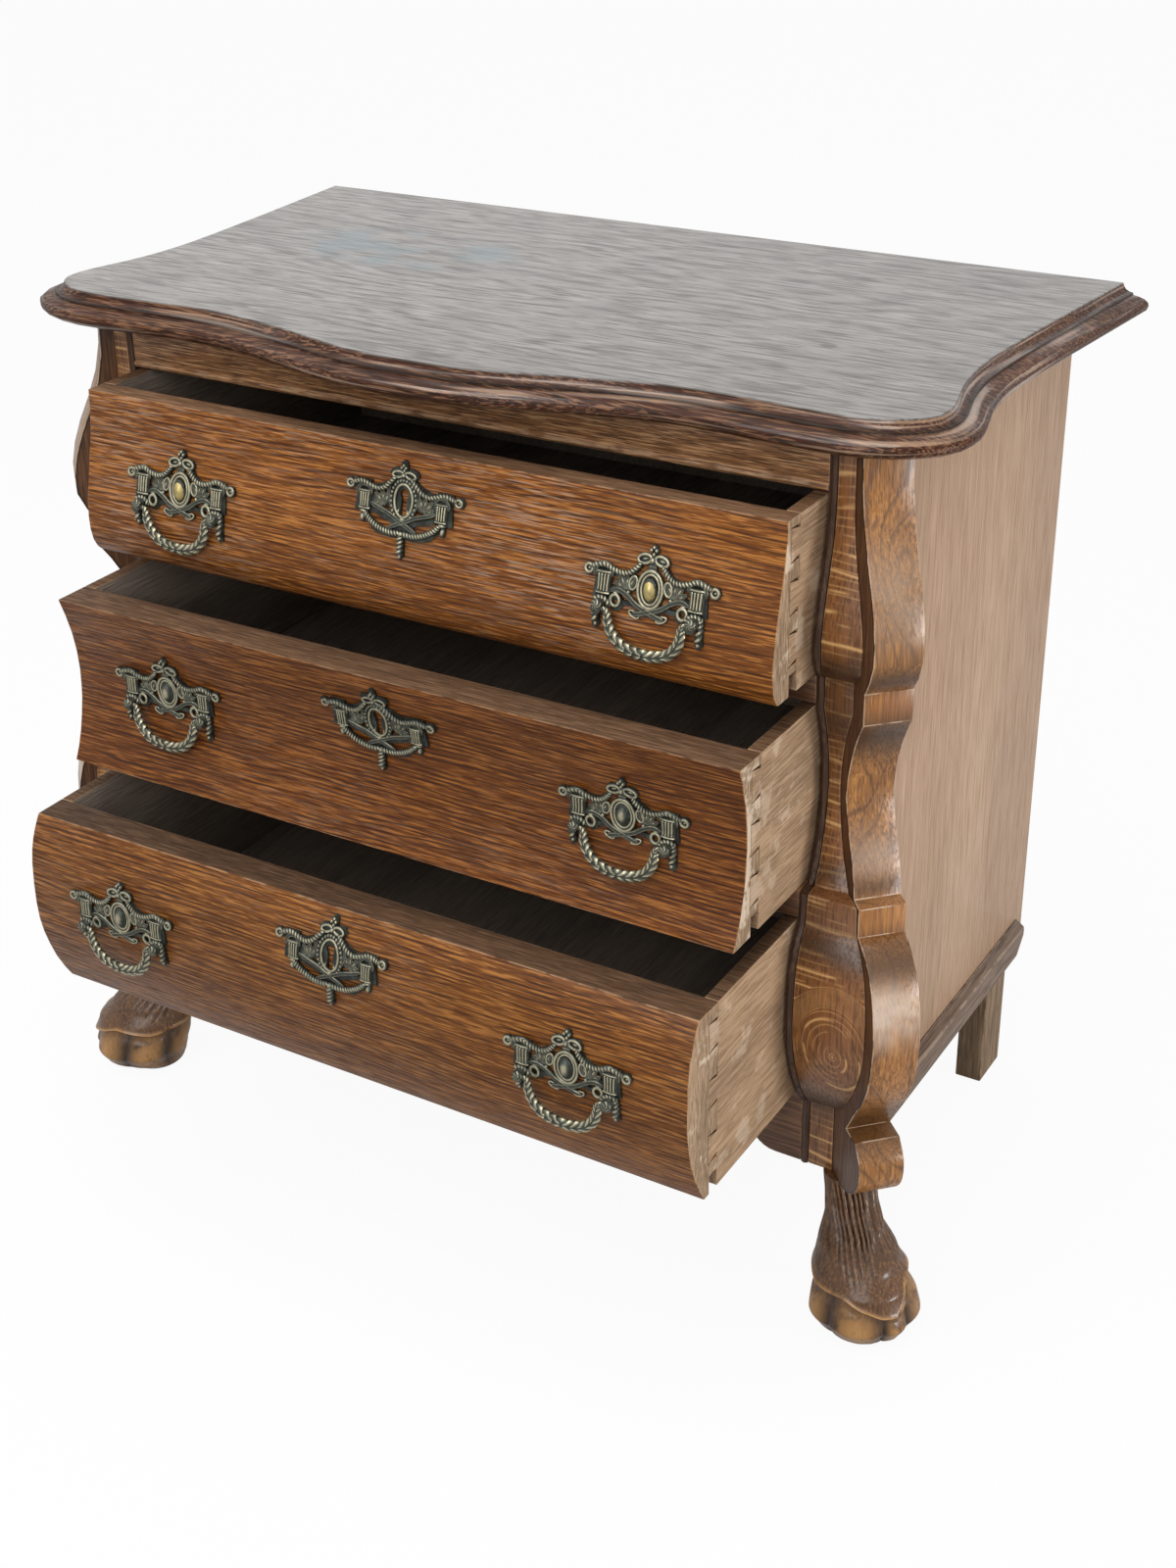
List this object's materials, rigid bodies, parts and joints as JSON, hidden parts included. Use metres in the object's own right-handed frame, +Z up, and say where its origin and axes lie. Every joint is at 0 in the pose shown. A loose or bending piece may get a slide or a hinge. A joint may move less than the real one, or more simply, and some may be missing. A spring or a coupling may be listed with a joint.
{
  "type": "bombe chest of drawers",
  "caption": "Bombe chest with drawers in a swelling front, serpentine moulded top, canted scrolled corner posts, carved front feet and swing-bail handles.",
  "frame": {"origin": "on the floor, below the middle of the chest's bounding box with its drawers as drawn out in the picture", "axes": "+X to the viewer's right along the front, -Y out of the front in the way the drawers open, +Z up"},
  "size_m": [0.8822, 0.6118, 0.78],
  "materials": {
    "top_oak": "stained and polished, greyed by wear",
    "front_oak": "stained satin",
    "frame_oak": "stained satin",
    "post_oak": "stained satin, worn on the edges",
    "panel_oak": "faded matt",
    "raw_oak": "unfinished",
    "inner_wood": "unfinished, darkened by age",
    "brass": "antiqued, rubbed bright on the high spots"
  },
  "bodies": {
    "carcass": {"top_board": "top_oak", "side_panel_right": "panel_oak", "side_panel_left": "panel_oak", "base_strip_right": "panel_oak", "base_strip_left": "panel_oak", "front_stile_right": "frame_oak", "front_stile_left": "frame_oak", "opening_bead_right": "frame_oak", "opening_bead_left": "frame_oak", "corner_post_right": "post_oak", "corner_post_left": "post_oak", "front_foot_right": "post_oak", "front_foot_left": "post_oak", "rear_leg_right": "panel_oak", "rear_leg_left": "panel_oak", "top_rail": "frame_oak", "drawer_rail_upper": "frame_oak", "drawer_rail_lower": "frame_oak", "apron": "frame_oak", "back_panel": "inner_wood", "rear_rail_top": "inner_wood", "rear_rail_bottom": "inner_wood", "runner_top_right": "inner_wood", "runner_top_left": "inner_wood", "runner_middle_right": "inner_wood", "runner_middle_left": "inner_wood", "runner_bottom_right": "inner_wood", "runner_bottom_left": "inner_wood"},
    "drawer_top": {"top_front": "front_oak", "top_side_right": "raw_oak", "top_side_left": "raw_oak", "top_back": "inner_wood", "top_bottom": "inner_wood", "top_escutcheon": "brass", "top_plate_right": "brass", "top_plate_left": "brass"},
    "drawer_middle": {"middle_front": "front_oak", "middle_side_right": "raw_oak", "middle_side_left": "raw_oak", "middle_back": "inner_wood", "middle_bottom": "inner_wood", "middle_escutcheon": "brass", "middle_plate_right": "brass", "middle_plate_left": "brass"},
    "drawer_bottom": {"bottom_front": "front_oak", "bottom_side_right": "raw_oak", "bottom_side_left": "raw_oak", "bottom_back": "inner_wood", "bottom_bottom": "inner_wood", "bottom_escutcheon": "brass", "bottom_plate_right": "brass", "bottom_plate_left": "brass"},
    "bail_top_right": {"top_bail_right": "brass"},
    "bail_top_left": {"top_bail_left": "brass"},
    "bail_middle_right": {"middle_bail_right": "brass"},
    "bail_middle_left": {"middle_bail_left": "brass"},
    "bail_bottom_right": {"bottom_bail_right": "brass"},
    "bail_bottom_left": {"bottom_bail_left": "brass"}
  },
  "joints": [
    {"name": "drawer_top_slide", "type": "slide", "parent": "carcass", "child": "drawer_top", "axis": [0, -1, 0], "range_m": [-0.061, 0.239]},
    {"name": "drawer_middle_slide", "type": "slide", "parent": "carcass", "child": "drawer_middle", "axis": [0, -1, 0], "range_m": [-0.119, 0.181]},
    {"name": "drawer_bottom_slide", "type": "slide", "parent": "carcass", "child": "drawer_bottom", "axis": [0, -1, 0], "range_m": [-0.157, 0.143]},
    {"name": "bail_top_right_swing", "type": "hinge", "parent": "drawer_top", "child": "bail_top_right", "pos_m": [0.22, -0.17404, 0.6287], "axis": [-1, 0, 0], "range_deg": [0, 95]},
    {"name": "bail_top_left_swing", "type": "hinge", "parent": "drawer_top", "child": "bail_top_left", "pos_m": [-0.22, -0.17404, 0.6287], "axis": [-1, 0, 0], "range_deg": [0, 95]},
    {"name": "bail_middle_right_swing", "type": "hinge", "parent": "drawer_middle", "child": "bail_middle_right", "pos_m": [0.22, -0.21346, 0.4648], "axis": [-1, 0, 0], "range_deg": [0, 95]},
    {"name": "bail_middle_left_swing", "type": "hinge", "parent": "drawer_middle", "child": "bail_middle_left", "pos_m": [-0.22, -0.21346, 0.4648], "axis": [-1, 0, 0], "range_deg": [0, 95]},
    {"name": "bail_bottom_right_swing", "type": "hinge", "parent": "drawer_bottom", "child": "bail_bottom_right", "pos_m": [0.22, -0.30248, 0.2914], "axis": [-1, 0, 0], "range_deg": [0, 95]},
    {"name": "bail_bottom_left_swing", "type": "hinge", "parent": "drawer_bottom", "child": "bail_bottom_left", "pos_m": [-0.22, -0.30248, 0.2914], "axis": [-1, 0, 0], "range_deg": [0, 95]}
  ]
}
